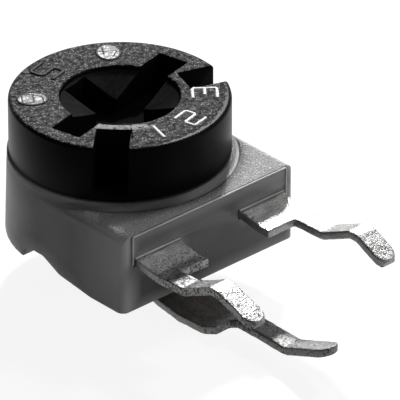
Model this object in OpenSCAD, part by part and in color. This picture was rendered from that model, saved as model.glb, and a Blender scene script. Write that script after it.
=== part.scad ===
// Single-turn carbon trimmer potentiometer for mounting on edge, three flat terminals.
// +Z is the rotor axis, and z = 0 is the rotor's top face, at the mouth of the driver recess.
// The terminals leave along -Y, and x runs along the row of end terminals.

/* [Rotor] */
// Diameter of the rotor cap
rotor_d = 6.4; // [5.8:0.05:6.5]
// Height of the rotor cap
rotor_h = 1.67; // [1.4:0.01:2.2]
// Round on the cap's top edge
rim_round = 0.12; // [0.05:0.01:0.25]
// How far the rotor stands turned from its middle position, counter-clockwise
rotor_angle = 12.5; // [-90:0.5:90]
// Diameter of the hub that turns in the housing
hub_d = 2.4; // [2.2:0.05:2.6]

/* [Driver recess] */
// Diameter of the round recess
recess_d = 3.42; // [3:0.02:3.6]
// Depth of the recess wall, down to the conical floor
lip_depth = 0.12; // [0.08:0.01:0.3]
// Depth of the conical floor at the centre
cone_depth = 0.83; // [0.6:0.01:0.9]
// Width of the cross slot
slot_w = 0.96; // [0.7:0.01:1]
// Depth of the cross slot
slot_depth = 1; // [0.95:0.01:1.2]
// Reach of the long arms from the axis
long_arm = 2.66; // [2.3:0.02:2.8]
// Reach of the short arms from the axis
short_arm = 1.6; // [1.2:0.02:1.65]

/* [Rim keyways] */
// Width of a keyway
key_w = 1; // [0.7:0.01:1.1]
// Distance from the axis to the keyway's inner wall
key_reach = 2; // [1.92:0.01:2.4]
// Depth of a keyway, which leaves a thin web at the cap's underside
key_depth = 1.5; // [1.2:0.01:1.55]
// Angle from the short arm to each keyway
key_angle = 59.3; // [50:0.1:70]

/* [Housing] */
// Width across the flat sides
body_w = 6.5; // [6.3:0.05:7]
// Height from the underside to the deck
body_h = 2.45; // [2.35:0.01:2.8]
// Distance from the axis to the terminal face
face_dist = 3.76; // [3.7:0.01:4]
// Diameter of the round back at its foot
round_d = 6.64; // [6.6:0.02:7]
// Draft of the walls, on each side
draft = 0.06; // [0.02:0.01:0.1]
// Radius of the two upright front corners
corner_r = 0.18; // [0.1:0.01:0.4]
// Radius of the long side edges of the deck
edge_r = 0.3; // [0.15:0.01:0.4]
// Wall thickness
wall = 0.55; // [0.5:0.01:0.6]
// Thickness of the roof over the laminate
roof_t = 0.4; // [0.35:0.01:0.5]
// Diameter of the collar under the rotor
collar_d = 6.5; // [6.3:0.02:6.54]
// Height of the collar above the deck
collar_h = 0.16; // [0.1:0.01:0.3]
// Drop from the deck to the ledge round the back
ledge_drop = 0.15; // [0.1:0.01:0.2]
// Radius of the cove at the collar's foot
cove_r = 0.16; // [0.08:0.01:0.16]
// Height of the relief arch under each side
arch_h = 0.5; // [0.3:0.01:0.55]
// Length of the relief arch
arch_l = 3.05; // [2.6:0.05:3.4]
// Distance behind the axis at which the arch begins
arch_back = 0.65; // [0.5:0.05:1]
// Height of the raised panel on the terminal face
panel_t = 0.04; // [0.02:0.01:0.06]
// Width of the panel
panel_w = 5.88; // [5.7:0.01:6]

/* [Travel] */
// Mechanical travel of the rotor, end to end
travel = 235; // [200:1:245]
// Angle of the stop lug on the contact carrier
lug_angle = 24; // [16:1:30]
// Free angle left before each end stop
stop_slack = 1.5; // [1:0.5:3]

/* [Laminate and prints] */
// Thickness of the laminate that carries the track
laminate_t = 0.35; // [0.3:0.01:0.4]
// Thickness of the printed layers
print_t = 0.03; // [0.02:0.01:0.05]
// Mean diameter of the carbon track
track_d = 3.7; // [3.6:0.02:3.8]
// Width of the carbon track
track_w = 0.5; // [0.4:0.02:0.6]

/* [Base plate] */
// Thickness of the base plate
base_t = 0.3; // [0.2:0.01:0.35]
// How far the base plate sits up inside the housing
base_recess = 0.25; // [0.2:0.01:0.3]

/* [Terminals] */
// Thickness of the terminal sheet
sheet_t = 0.25; // [0.2:0.01:0.28]
// Width of a terminal's root
root_w = 1.7; // [1.5:0.02:1.8]
// Width of a solder leg
leg_w = 0.7; // [0.5:0.02:0.8]
// Distance from the housing's side to the outer edge of an end terminal
root_gap = 0.4; // [0.35:0.01:0.5]
// Distance from the axis to the shoulders, which seat on the board
seat_dist = 5; // [4.9:0.02:5.3]
// Distance from the axis to the tips of the end legs
tip_dist = 8.62; // [8.3:0.02:9]
// Height of the retaining kink in an end leg
kink_h = 0.58; // [0.3:0.01:0.7]
// Distance from the axis to the kink of the near leg
near_kink = 7.05; // [6.8:0.05:7.4]
// Distance from the axis to the kink of the far leg
far_kink = 7.4; // [6.8:0.05:7.5]
// Distance from the axis to the tip of the wiper leg
wiper_tip = 8.95; // [8.7:0.01:9.3]
// Distance from the axis to the upward bend of the wiper leg
wiper_bend = 7.25; // [7:0.05:7.7]
// Height between the end legs and the wiper leg at the board
row_gap = 2.2; // [2.1:0.02:2.5]
// Dip of the terminals from their roots to the board
leg_drop = 0.14; // [0.05:0.01:0.2]
// Rise of the wiper leg from its bend to its tip
wiper_rise = 0.62; // [0.5:0.01:0.8]

/* [Contact spring] */
// Thickness of the contact spring
spring_t = 0.08; // [0.06:0.01:0.1]
// Width of one contact finger
finger_w = 0.3; // [0.2:0.01:0.34]

/* [Clearances] */
// Gap under the rotor cap
running_gap = 0.06; // [0.04:0.01:0.1]
// Radial gap between the hub and the housing
hub_gap = 0.05; // [0.03:0.01:0.08]
// Gap round pieces that are dropped into the housing
fit_gap = 0.04; // [0.02:0.01:0.06]
// Gap between a sliding contact and what it wipes
wipe_gap = 0.02; // [0.01:0.01:0.03]

/* [Hidden] */
fine = 96;
eps = 0.01;

// Heights, from the rotor's top face down
cap_z = -rotor_h;
collar_z = cap_z - running_gap;
deck_z = collar_z - collar_h;
ledge_z = deck_z - ledge_drop;
underside_z = deck_z - body_h;
roof_z = deck_z - roof_t;
laminate_z = roof_z - laminate_t;
print_z = laminate_z - print_t;
base_z = underside_z + base_recess;
base_top = base_z + base_t;
collector_top = base_top + sheet_t;

// Radii and half widths
hub_r = hub_d / 2;
round_r = round_d / 2;
foot_r = 0.1;
cavity_r = round_r - draft - wall;
cavity_w = body_w / 2 - wall;
cavity_front = face_dist - wall;
root_out = body_w / 2 - root_gap;
root_in = root_out - root_w;
leg_x = root_out - leg_w / 2;

// Contact carrier and its stake
carrier_t = 0.3;
carrier_gap = 0.2;
carrier_inset = 0.72;
carrier_z = collector_top + carrier_gap;
carrier_top = carrier_z + carrier_t;
carrier_r = cavity_r - carrier_inset;
spigot_r = 0.75 * hub_r;
flat_w = 1.3 * spigot_r;
stake_h = 0.12;
stake_grip = 0.22;
stake_taper = 0.1;
stake_r = spigot_r + stake_grip;
shoulder_z = carrier_top + spring_t;
lug_gap = 0.2;
lug_root = 0.1;
lug_r = cavity_r - lug_gap;

// Stop block inside the front of the housing
stop_gap = 0.12;
stop_drop = 0.05;
stop_r = carrier_r + stop_gap;
stop_half = (360 - travel) / 2 - lug_angle / 2 - stop_slack;
stop_z = collector_top + stop_drop;
stop_top = carrier_top - stop_drop;

// Eyelets that clinch the end terminals to the laminate
eyelet_inset = 0.7;
eyelet_x = (root_in + root_out) / 2;
eyelet_y = -cavity_front + eyelet_inset;
root_tail = 0.1;
root_y = eyelet_y - root_tail;
eyelet_r = 0.28;
eyelet_bore = 0.17;
head_r = 0.46;
head_t = 0.09;
head_gap = 0.06;
pad_r = 0.62;

// Prints
track_r = track_d / 2;
track_end = 48;
pad_gap = 0.08;
hub_room = 0.15;

// Bends of the terminals
bend_r = 0.3;
root_lead = 0.05;
bend_run = 0.35;
kink_run = 1.3;
kink_half = 0.18;
leg_rise = 0.05;
tip_lift = 0.1;

// Collector ring and dropped root of the wiper terminal
collector_gap = 0.2;
collector_w = 0.6;
collector_in = stake_r + collector_gap;
collector_out = collector_in + collector_w;
contact_r = (collector_in + collector_out) / 2;
drop_dist = collector_out + 0.1;
drop_run = 0.25;
drop_room = 0.35;
sag = 0.45;
sag_near = 1.6;
sag_far = 0.6;
sag_tilt = 0.17;
wiper_dip = 0.03;

// Contact spring and the window it reaches through
ring_lap = 0.22;
finger_gap = 0.16;
finger_tip = 0.14;
finger_lift = 0.06;
tongue_w = 0.6;
tongue_tip = 0.12;
tongue_lift = 0.05;
tongue_hold = 0.4;
tongue_ease = 0.1;
window_w = 0.8;
window_l = 0.46;

// Points on a circle arc
function arc(c, r, a0, a1, n) =
    [for (i = [0:n]) let (a = a0 + (a1 - a0) * i / n) c + r * [cos(a), sin(a)]];

// A line through points with each inner corner rounded to radius r, as an arc of n steps
function unit(v) = v / norm(v);
function turned(v, a) = [v.x * cos(a) - v.y * sin(a), v.x * sin(a) + v.y * cos(a)];
function rounded(p, r, n = 5) = concat([p[0]], [
    for (i = [1:len(p) - 2])
        let (u = unit(p[i - 1] - p[i]), v = unit(p[i + 1] - p[i]),
             half = acos(max(-1, min(1, u * v))) / 2,
             room = 0.48 * min(norm(p[i - 1] - p[i]), norm(p[i + 1] - p[i])),
             back = min(r / tan(half), room),
             centre = p[i] + unit(u + v) * back / cos(half),
             bend = (180 - 2 * half) * (u.y * v.x - u.x * v.y > 0 ? 1 : -1))
        for (k = [0:n]) centre + turned(p[i] + back * u - centre, bend * k / n)
], [p[len(p) - 1]]);

// Outline of a bent sheet of thickness t whose top face follows the line p
function normal(p, i) =
    let (a = p[max(i - 1, 0)], b = p[min(i + 1, len(p) - 1)], d = unit(b - a)) [d.y, -d.x];
function sheet(p, t) = concat(p, [for (i = [len(p) - 1:-1:0]) p[i] + t * normal(p, i)]);

// Extrudes a side profile drawn as [distance outwards, height] across x from x0 to x1
module across(x0, x1) {
    translate([x1, 0, 0]) rotate([90, 0, -90]) linear_extrude(x1 - x0) children();
}

// Flat sector of a disc about -Y, as a polygon of radius r and half angle half
module sector(r, half) {
    polygon(concat([[0, 0]], arc([0, 0], r, -90 - half, -90 + half, 12)));
}

// Plan of the square front, with rounded upright corners
module front_plan(half_w, front, r) {
    translate([-half_w + r, -front]) square([2 * (half_w - r), front]);
    translate([-half_w, -front + r]) square([2 * half_w, front - r]);
    for (side = [-1, 1])
        translate([side * (half_w - r), -front + r]) circle(r, $fn = fine);
}

// Plan of a piece dropped into the housing
module cavity_plan(gap) {
    circle(cavity_r - gap, $fn = fine);
    translate([-cavity_w + gap, -cavity_front + gap])
        square([2 * (cavity_w - gap), cavity_front - gap]);
}

// Side profile of the square front: drafted sides, long edges of the deck rounded
module front_section() {
    w = body_w / 2;
    polygon([
        [-w - draft, underside_z], [w + draft, underside_z], [w, deck_z - edge_r],
        [w - edge_r, deck_z], [-w + edge_r, deck_z], [-w, deck_z - edge_r]]);
    for (side = [-1, 1])
        translate([side * (w - edge_r), deck_z - edge_r]) circle(edge_r, $fn = fine);
}

module housing_shell() {
    intersection() {
        translate([0, 0, underside_z - eps]) linear_extrude(body_h + 2 * eps)
            front_plan(body_w / 2 + draft, face_dist, corner_r + draft);
        rotate([90, 0, 0]) translate([0, 0, -eps]) linear_extrude(face_dist + 2 * eps)
            front_section();
    }
    rotate_extrude($fn = fine) polygon([
        [0, underside_z], [round_r - foot_r, underside_z], [round_r, underside_z + foot_r],
        [round_r - draft, ledge_z], [0, ledge_z]]);
    collar();
    face_panel();
}

// Raised panel over the end terminals, which dies away at the height of their roots
module face_panel() {
    top = deck_z - panel_t;
    across(-panel_w / 2, panel_w / 2) polygon([
        [face_dist - eps, print_z], [face_dist, print_z],
        [face_dist + panel_t, (2 * print_z + top) / 3], [face_dist + panel_t, top],
        [face_dist - eps, top]]);
}

// Collar with a small cove at its foot, kept inside the plan of the body
module collar() {
    r = collar_d / 2;
    translate([0, 0, ledge_z - eps])
        cylinder(ledge_drop + collar_h + eps, r, r, $fn = fine);
    intersection() {
        rotate_extrude($fn = fine) polygon(concat(
            [[0, deck_z - eps]], [[r + cove_r, deck_z - eps]],
            arc([r + cove_r, deck_z + cove_r], cove_r, 270, 180, 8), [[0, deck_z + cove_r]]));
        translate([0, 0, deck_z - 2 * eps]) linear_extrude(cove_r + 3 * eps)
            front_plan(body_w / 2 - edge_r, face_dist, corner_r);
    }
}

// Block inside the front of the housing that stops the carrier's lug at both ends
module stop_block() {
    translate([0, 0, stop_z]) linear_extrude(stop_top - stop_z) difference() {
        intersection() {
            cavity_plan(-eps);
            sector(2 * face_dist, stop_half);
        }
        circle(stop_r, $fn = fine);
    }
}

module housing() {
    color("dimgray") difference() {
        union() {
            difference() {
                housing_shell();
                translate([0, 0, underside_z - 1])
                    linear_extrude(roof_z - underside_z + 1) cavity_plan(0);
            }
            stop_block();
        }
        translate([0, 0, roof_z - 1])
            cylinder(3, hub_r + hub_gap, hub_r + hub_gap, $fn = fine);
        across(-body_w, body_w) polygon(arch_line());
        for (side = [-1, 1]) {
            terminal_slot(side);
            translate([side * eyelet_x, eyelet_y, roof_z - eps])
                cylinder(head_t + head_gap, head_r + head_gap, head_r + head_gap, $fn = fine);
        }
    }
}

// Relief arch under the sides: steep at the back, and a long low tail to the front
function arch_line() = let (foot = underside_z, back = -arch_back) concat(
    [[back, foot - body_h]],
    rounded([[back, foot], [back + 0.05 * arch_l, foot + 0.7 * arch_h],
        [back + 0.18 * arch_l, foot + arch_h], [back + 0.33 * arch_l, foot + 0.96 * arch_h],
        [back + 0.56 * arch_l, foot + 0.33 * arch_h], [back + arch_l, foot]], arch_h),
    [[back + arch_l, foot - body_h]]);

// Slot in the front wall for one end terminal, carried on beside the cavity
module terminal_slot(side) {
    x0 = side > 0 ? root_in - fit_gap : -root_out - fit_gap;
    translate([x0, -2 * face_dist, print_z - sheet_t - fit_gap]) cube([
        root_w + 2 * fit_gap, 2 * face_dist + root_y + fit_gap, sheet_t + 2 * fit_gap]);
}

module rotor() {
    r = rotor_d / 2;
    color([0.07, 0.07, 0.075]) rotate([0, 0, rotor_angle]) difference() {
        union() {
            rotate_extrude($fn = fine) polygon(concat(
                [[0, cap_z], [r, cap_z]],
                arc([r - rim_round, -rim_round], rim_round, 0, 90, 6), [[0, 0]]));
            translate([0, 0, shoulder_z])
                cylinder(cap_z - shoulder_z + eps, hub_r, hub_r, $fn = fine);
            spigot(shoulder_z - carrier_z + eps, 0);
            translate([0, 0, carrier_z - stake_h])
                cylinder(stake_h, stake_r - stake_taper, stake_r, $fn = fine);
        }
        driver_recess();
        for (side = [-1, 1]) rotate([0, 0, side * key_angle])
            translate([-key_w / 2, -2 * r, -key_depth])
                cube([key_w, 2 * r - key_reach, key_depth + eps]);
    }
}

// Round recess with a conical floor and a deeper cross slot
module driver_recess() {
    r = recess_d / 2;
    rotate_extrude($fn = fine)
        polygon([[0, eps], [0, -cone_depth], [r, -lip_depth], [r, eps]]);
    for (arm = [[0, short_arm], [90, long_arm]]) rotate([0, 0, arm[0]])
        translate([-slot_w / 2, -arm[1], -slot_depth])
            cube([slot_w, 2 * arm[1], slot_depth + eps]);
}

// Keyed spigot under the hub, with two flats
module spigot(h, gap) {
    translate([0, 0, carrier_z]) linear_extrude(h) intersection() {
        circle(spigot_r + gap, $fn = fine);
        square([4 * (spigot_r + gap), flat_w + 2 * gap], center = true);
    }
}

// Moulded disc on the spigot that carries the contact spring and the stop lug
module contact_carrier() {
    color([0.85, 0.83, 0.76]) rotate([0, 0, rotor_angle]) difference() {
        translate([0, 0, carrier_z]) linear_extrude(carrier_t) {
            circle(carrier_r, $fn = fine);
            rotate([0, 0, 180]) difference() {
                sector(lug_r, lug_angle / 2);
                circle(carrier_r - lug_root, $fn = fine);
            }
        }
        translate([0, 0, -eps]) spigot(carrier_t + 2 * eps, 0);
        translate([-window_w / 2, -contact_r - collector_gap, carrier_z - eps])
            cube([window_w, window_l, carrier_t + 2 * eps]);
    }
}

// Contact spring: twin fingers up to the track and one tongue down to the collector ring
module contact_spring() {
    ring_r = hub_r + ring_lap;
    bend = ring_r + tongue_ease / 5;
    high = print_z - wipe_gap;
    low = collector_top + wipe_gap + spring_t;
    color([0.8, 0.6, 0.3]) rotate([0, 0, rotor_angle]) {
        difference() {
            translate([0, 0, carrier_top]) linear_extrude(spring_t) {
                circle(ring_r, $fn = fine);
                translate([-finger_w - finger_gap / 2, 0])
                    square([2 * finger_w + finger_gap, bend]);
            }
            translate([0, 0, carrier_top - carrier_z - eps]) spigot(spring_t + 2 * eps, 0);
        }
        for (side = [-1, 1]) mirror([0, 1, 0]) across(
            side * (finger_w + finger_gap) / 2 - finger_w / 2,
            side * (finger_w + finger_gap) / 2 + finger_w / 2)
            polygon(sheet(rounded([
                [ring_r - tongue_ease, shoulder_z], [bend, shoulder_z],
                [track_r, high], [track_r + finger_tip, high - finger_lift]],
                finger_tip), spring_t));
        across(-tongue_w / 2, tongue_w / 2) polygon(sheet(rounded([
            [ring_r - tongue_hold, shoulder_z], [bend, shoulder_z],
            [contact_r - tongue_ease, low + tongue_ease], [contact_r, low],
            [contact_r + tongue_tip, low + tongue_lift]], tongue_tip), spring_t));
    }
}

// Laminate plate under the roof, with the hub hole and two eyelet holes
module laminate() {
    color("peru") translate([0, 0, laminate_z]) linear_extrude(laminate_t) difference() {
        cavity_plan(fit_gap);
        circle(hub_r + hub_room, $fn = fine);
        for (side = [-1, 1])
            translate([side * eyelet_x, eyelet_y]) circle(eyelet_r, $fn = fine);
    }
}

module track_plan() {
    difference() {
        circle(track_r + track_w / 2, $fn = fine);
        circle(track_r - track_w / 2, $fn = fine);
        sector(2 * track_r, track_end);
    }
}

// Printed carbon track on the laminate's underside
module carbon_track() {
    color([0.12, 0.12, 0.12]) translate([0, 0, print_z]) linear_extrude(print_t) track_plan();
}

// Printed silver pad from one end of the track to its eyelet
module electrode(side) {
    start = [side * track_r * sin(track_end), -track_r * cos(track_end)];
    pad = [side * eyelet_x, eyelet_y];
    along = unit(pad - start);
    stop = pad - (eyelet_r + pad_gap) * along;
    half = [-along.y, along.x] * track_w / 2;
    color("silver") translate([0, 0, print_z]) difference() {
        union() {
            translate([pad.x, pad.y, 0]) cylinder(print_t, pad_r, pad_r, $fn = fine);
            linear_extrude(print_t) polygon([start - half, start + half, stop + half, stop - half]);
        }
        translate([0, 0, -print_t]) {
            linear_extrude(3 * print_t) track_plan();
            cylinder(3 * print_t, track_r, track_r, $fn = fine);
            translate(pad) cylinder(3 * print_t, eyelet_r, eyelet_r, $fn = fine);
        }
    }
}

// Side profile of an end terminal's top face, as [distance outwards, height]
function end_line(kink) = let (foot = print_z - leg_drop) rounded([
    [-eyelet_y - pad_r, print_z], [face_dist + root_lead, print_z],
    [seat_dist - bend_run, foot], [kink - kink_run, foot + leg_rise],
    [kink - kink_half, foot + kink_h], [kink + kink_half, foot + kink_h],
    [tip_dist, foot + tip_lift]], bend_r);

// Flat blank of an end terminal in plan, for the side x > 0
module end_blank() {
    translate([eyelet_x, eyelet_y]) circle(pad_r, $fn = fine);
    translate([root_in, -seat_dist]) square([root_w, seat_dist + root_y]);
    translate([leg_x - leg_w / 2, -tip_dist + leg_w / 2])
        square([leg_w, tip_dist - seat_dist]);
    translate([leg_x, -tip_dist + leg_w / 2]) circle(leg_w / 2, $fn = fine);
}

// End terminal: blank cut from bent sheet, pierced for its eyelet
module end_terminal(side, kink) {
    color("gainsboro") mirror([side < 0 ? 1 : 0, 0, 0]) difference() {
        intersection() {
            translate([0, 0, print_z - body_h]) linear_extrude(2 * body_h) end_blank();
            across(0, body_w) polygon(sheet(end_line(kink), sheet_t));
        }
        translate([eyelet_x, eyelet_y, print_z - 2 * sheet_t])
            cylinder(3 * sheet_t, eyelet_r, eyelet_r, $fn = fine);
    }
}

// Tubular eyelet with a head on each side
module eyelet(side) {
    low = print_z - sheet_t;
    color([0.75, 0.74, 0.68]) translate([side * eyelet_x, eyelet_y, 0]) difference() {
        union() {
            translate([0, 0, low - head_t])
                cylinder(roof_z - low + 2 * head_t, eyelet_r, eyelet_r, $fn = fine);
            translate([0, 0, low - head_t]) cylinder(head_t, head_r, head_r, $fn = fine);
            translate([0, 0, roof_z]) cylinder(head_t, head_r, head_r, $fn = fine);
        }
        translate([0, 0, underside_z]) cylinder(2 * body_h, eyelet_bore, eyelet_bore, $fn = fine);
    }
}

// Base plate that closes the housing, slotted for the wiper terminal
module base_plate() {
    slot_x = root_w / 2 + 2 * fit_gap;
    color("sienna") translate([0, 0, base_z]) linear_extrude(base_t) difference() {
        cavity_plan(fit_gap);
        translate([-slot_x, -2 * cavity_front])
            square([2 * slot_x, 2 * cavity_front - drop_dist + drop_room]);
    }
}

// Side profile of the wiper terminal's top face
function wiper_line() = let (leg_z = print_z - leg_drop - row_gap) rounded([
    [collector_in, collector_top], [drop_dist, collector_top],
    [drop_dist + drop_run, leg_z - sag + sag_tilt], [seat_dist - sag_near, leg_z - sag],
    [seat_dist - sag_far, leg_z - sag + leg_rise], [seat_dist + bend_r, leg_z],
    [wiper_bend, leg_z - wiper_dip], [wiper_tip, leg_z + wiper_rise]], bend_r + root_lead);

// Wiper terminal: collector ring, dropped root, shoulders and one leg
module wiper_terminal() {
    color("gainsboro") {
        translate([0, 0, base_top]) linear_extrude(sheet_t) difference() {
            circle(collector_out, $fn = fine);
            circle(collector_in, $fn = fine);
        }
        intersection() {
            translate([0, 0, underside_z - body_h]) linear_extrude(3 * body_h) {
                translate([-root_w / 2, -seat_dist]) square([root_w, seat_dist - contact_r]);
                translate([-leg_w / 2, -wiper_tip + leg_w / 2])
                    square([leg_w, wiper_tip - seat_dist]);
                translate([0, -wiper_tip + leg_w / 2]) circle(leg_w / 2, $fn = fine);
            }
            across(-root_w, root_w) polygon(sheet(wiper_line(), sheet_t));
        }
    }
}

housing();
rotor();
contact_carrier();
contact_spring();
laminate();
carbon_track();
electrode(-1);  // near_electrode
electrode(1);  // far_electrode
end_terminal(-1, near_kink);  // near_terminal
end_terminal(1, far_kink);  // far_terminal
eyelet(-1);  // near_eyelet
eyelet(1);  // far_eyelet
base_plate();
wiper_terminal();
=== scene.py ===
"""Looks of a single-turn trimmer potentiometer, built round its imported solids."""

import math
from array import array
from types import SimpleNamespace

import bmesh
import bpy
from mathutils import Matrix, Vector, noise


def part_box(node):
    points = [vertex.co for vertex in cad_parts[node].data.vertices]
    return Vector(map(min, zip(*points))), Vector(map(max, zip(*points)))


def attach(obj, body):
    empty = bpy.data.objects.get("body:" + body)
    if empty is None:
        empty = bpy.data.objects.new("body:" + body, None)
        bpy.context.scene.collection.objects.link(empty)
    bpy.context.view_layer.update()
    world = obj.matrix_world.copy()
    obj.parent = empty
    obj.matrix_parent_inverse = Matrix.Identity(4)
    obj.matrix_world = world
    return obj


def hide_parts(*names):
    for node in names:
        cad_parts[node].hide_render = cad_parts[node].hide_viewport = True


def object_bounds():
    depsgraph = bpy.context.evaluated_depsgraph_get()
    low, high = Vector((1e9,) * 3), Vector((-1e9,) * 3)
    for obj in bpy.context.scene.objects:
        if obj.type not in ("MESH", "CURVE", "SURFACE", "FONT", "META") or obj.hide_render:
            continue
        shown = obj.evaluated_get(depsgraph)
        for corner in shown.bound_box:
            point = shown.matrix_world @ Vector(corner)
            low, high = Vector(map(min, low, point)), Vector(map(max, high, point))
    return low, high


bl_info = {
    "name": "Trimmer Potentiometer",
    "version": (1, 0, 0),
    "blender": (4, 5, 0),
    "location": "View3D > Sidebar > Trimmer",
    "description": "Dresses a single-turn trimmer's solids with finished meshes and materials",
    "category": "Object",
}

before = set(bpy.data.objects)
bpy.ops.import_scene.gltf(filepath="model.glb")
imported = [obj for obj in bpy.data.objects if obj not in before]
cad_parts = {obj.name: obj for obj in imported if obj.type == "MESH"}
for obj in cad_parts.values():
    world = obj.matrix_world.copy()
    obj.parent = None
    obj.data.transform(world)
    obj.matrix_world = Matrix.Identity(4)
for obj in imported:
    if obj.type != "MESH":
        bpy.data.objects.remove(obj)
CAD_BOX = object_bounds()

MM = 0.001
ROUND_STEPS = 160
BASE = "base"
ROTOR_GROUP = "rotor_group"
# How far a cutter reaches past the face that it cuts, in mm
OVERCUT = 0.3
# Width of the soft edges on the rotor, in mm
MOULDED_EDGE = 0.022
# Length of the pale bead down each side of the panel, a painted highlight line, in mm
PANEL_SIDE = 0.9
# Length of a terminal on both sides of the front face that counts as its root, in mm
ROOT_REACH = 0.5


def millimetres(node):
    """Lowest and highest corner of a CAD node in millimetres."""
    low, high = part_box(node)
    return low / MM, high / MM


ROTOR_LOW, ROTOR_HIGH = millimetres("rotor")
HOUSING_LOW, HOUSING_HIGH = millimetres("housing")
ROTOR_R = ROTOR_HIGH.y
COLLAR_Z = HOUSING_HIGH.z
FACE_DIST = -HOUSING_LOW.y
WEB_ANGLE = math.radians(-136.8)


class RotorSizes(bpy.types.PropertyGroup):
    cap_h: bpy.props.FloatProperty(
        name="Cap height", description="Height of the rotor's cap",
        default=1.67 * MM, unit="LENGTH")
    rim_round: bpy.props.FloatProperty(
        name="Rim round", description="Round on the cap's top edge",
        default=0.12 * MM, unit="LENGTH")
    hub_r: bpy.props.FloatProperty(
        name="Hub radius", description="Radius of the hub under the cap",
        default=1.2 * MM, unit="LENGTH")
    recess_r: bpy.props.FloatProperty(
        name="Recess radius", description="Radius of the driver recess",
        default=1.71 * MM, unit="LENGTH")
    lip_depth: bpy.props.FloatProperty(
        name="Lip depth", description="Depth of the recess wall",
        default=0.12 * MM, unit="LENGTH")
    rim_chamfer: bpy.props.FloatProperty(
        name="Recess chamfer", description="Small chamfer round the recess",
        default=0.05 * MM, unit="LENGTH")
    cone_depth: bpy.props.FloatProperty(
        name="Cone depth", description="Depth of the conical floor at its centre",
        default=0.83 * MM, unit="LENGTH")
    slot_w: bpy.props.FloatProperty(
        name="Slot width", description="Width of the cross slot",
        default=0.96 * MM, unit="LENGTH")
    slot_depth: bpy.props.FloatProperty(
        name="Slot depth", description="Depth of the cross slot",
        default=1.0 * MM, unit="LENGTH")
    long_arm: bpy.props.FloatProperty(
        name="Long arm", description="Reach of the long arms from the axis",
        default=2.66 * MM, unit="LENGTH")
    short_arm: bpy.props.FloatProperty(
        name="Short arm", description="Reach of the short arms from the axis",
        default=1.6 * MM, unit="LENGTH")
    key_w: bpy.props.FloatProperty(
        name="Keyway width", description="Width of a rim keyway",
        default=1.0 * MM, unit="LENGTH")
    key_reach: bpy.props.FloatProperty(
        name="Keyway reach", description="Distance from the axis to its inner wall",
        default=2.0 * MM, unit="LENGTH")
    key_depth: bpy.props.FloatProperty(
        name="Keyway depth", description="Depth of a rim keyway",
        default=1.5 * MM, unit="LENGTH")
    key_angle: bpy.props.FloatProperty(
        name="Keyway angle", description="Angle from the short arm to each keyway",
        subtype="ANGLE", default=math.radians(59.3))
    turned: bpy.props.FloatProperty(
        name="Turned", description="How far the rotor stands from its middle position",
        subtype="ANGLE", default=math.radians(12.5))
    top_color: bpy.props.FloatVectorProperty(
        name="Top colour", description="Colour of the grained top face", subtype="COLOR",
        size=3, default=(0.048, 0.048, 0.048))
    side_color: bpy.props.FloatVectorProperty(
        name="Side colour", description="Colour of the smooth sides", subtype="COLOR",
        size=3, default=(0.004, 0.004, 0.0045))


class HousingSizes(bpy.types.PropertyGroup):
    # The bead is a pale raised line along the panel's edges: a painted highlight.
    bead_r: bpy.props.FloatProperty(
        name="Bead radius", description="Radius of the flash line round the panel",
        default=0.03 * MM, unit="LENGTH")
    panel_w: bpy.props.FloatProperty(
        name="Panel width", description="Width of the raised front panel",
        default=5.88 * MM, unit="LENGTH")
    panel_drop: bpy.props.FloatProperty(
        name="Panel drop", description="Depth of the panel's top edge under the collar",
        default=0.19 * MM, unit="LENGTH")
    edge_bevel: bpy.props.FloatProperty(
        name="Edge bevel", description="Soft edge left by the mould",
        default=0.035 * MM, unit="LENGTH")
    color: bpy.props.FloatVectorProperty(
        name="Colour", description="Colour of the moulded housing", subtype="COLOR",
        size=3, default=(0.18, 0.18, 0.18))


class NumeralSizes(bpy.types.PropertyGroup):
    fine_h: bpy.props.FloatProperty(
        name="Fine height", description="Height of the bright figures",
        default=0.7 * MM, unit="LENGTH")
    fine_r: bpy.props.FloatProperty(
        name="Fine ring", description="Distance of the bright figures from the axis",
        default=2.42 * MM, unit="LENGTH")
    fine_stroke: bpy.props.FloatProperty(
        name="Fine stroke", description="Half width of the bright strokes",
        default=0.05 * MM, unit="LENGTH")
    broad_h: bpy.props.FloatProperty(
        name="Broad height", description="Height of the dull figures",
        default=0.8 * MM, unit="LENGTH")
    broad_r: bpy.props.FloatProperty(
        name="Broad ring", description="Distance of the dull figures from the axis",
        default=2.5 * MM, unit="LENGTH")
    broad_stroke: bpy.props.FloatProperty(
        name="Broad stroke", description="Half width of the dull strokes",
        default=0.055 * MM, unit="LENGTH")
    bright: bpy.props.FloatVectorProperty(
        name="Bright", description="Colour of the bright figures", subtype="COLOR",
        size=3, default=(0.9, 0.9, 0.9))
    dull: bpy.props.FloatVectorProperty(
        name="Dull", description="Colour of the worn parts of the dull figures", subtype="COLOR",
        size=3, default=(0.6, 0.6, 0.6))


class TerminalSizes(bpy.types.PropertyGroup):
    grain: bpy.props.FloatProperty(
        name="Mesh grain", description="Size of the mesh that rounds the tinned edges",
        default=0.032 * MM, unit="LENGTH")
    lump: bpy.props.FloatProperty(
        name="Lumps", description="Height of the unevenness of the tin",
        default=0.014 * MM, unit="LENGTH")
    color: bpy.props.FloatVectorProperty(
        name="Colour", description="Colour of the tin", subtype="COLOR",
        size=3, default=(0.46, 0.46, 0.455))


def in_millimetres(settings):
    """A copy of some settings as plain values, with the lengths in millimetres.

    They are rounded to single floats, as a mesh holds them, so that each cut falls the same way.
    """
    values = {}
    for key in settings.__annotations__:
        value = getattr(settings, key)
        if settings.bl_rna.properties[key].unit == "LENGTH":
            value = array("f", [round(value / MM, 6)])[0]
        values[key] = value
    return SimpleNamespace(**values)


def take_mesh(name, mesh):
    """A new object for a mesh, in the scene."""
    obj = bpy.data.objects.new(name, mesh)
    bpy.context.scene.collection.objects.link(obj)
    return obj


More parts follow.
